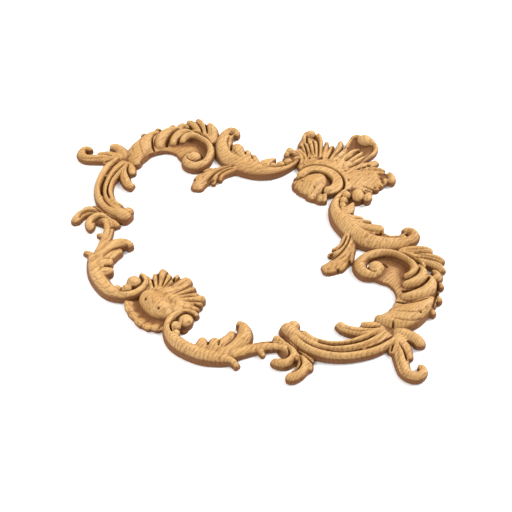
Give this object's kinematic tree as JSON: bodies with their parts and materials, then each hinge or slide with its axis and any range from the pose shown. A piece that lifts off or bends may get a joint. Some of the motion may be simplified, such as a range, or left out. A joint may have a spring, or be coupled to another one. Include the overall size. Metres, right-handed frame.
{
  "type": "carved wood applique",
  "caption": "Open-work carved oak applique: a scrolled leaf frame with a shell crest and foot, glued or pinned flat to furniture, panelling or a frieze as ornament.",
  "frame": {"origin": "on the flat back, under the middle of the crest's dome, where the piece is fixed to its ground", "axes": "+Z out of the ground towards the viewer, +Y up towards the tip of the crest, +X to the viewer's right"},
  "size_m": [0.5336, 0.4172, 0.016],
  "materials": {
    "oak": "bare carved oak, unfinished, with fine straight grain"
  },
  "bodies": {
    "root": {"applique": "oak"}
  },
  "joints": []
}
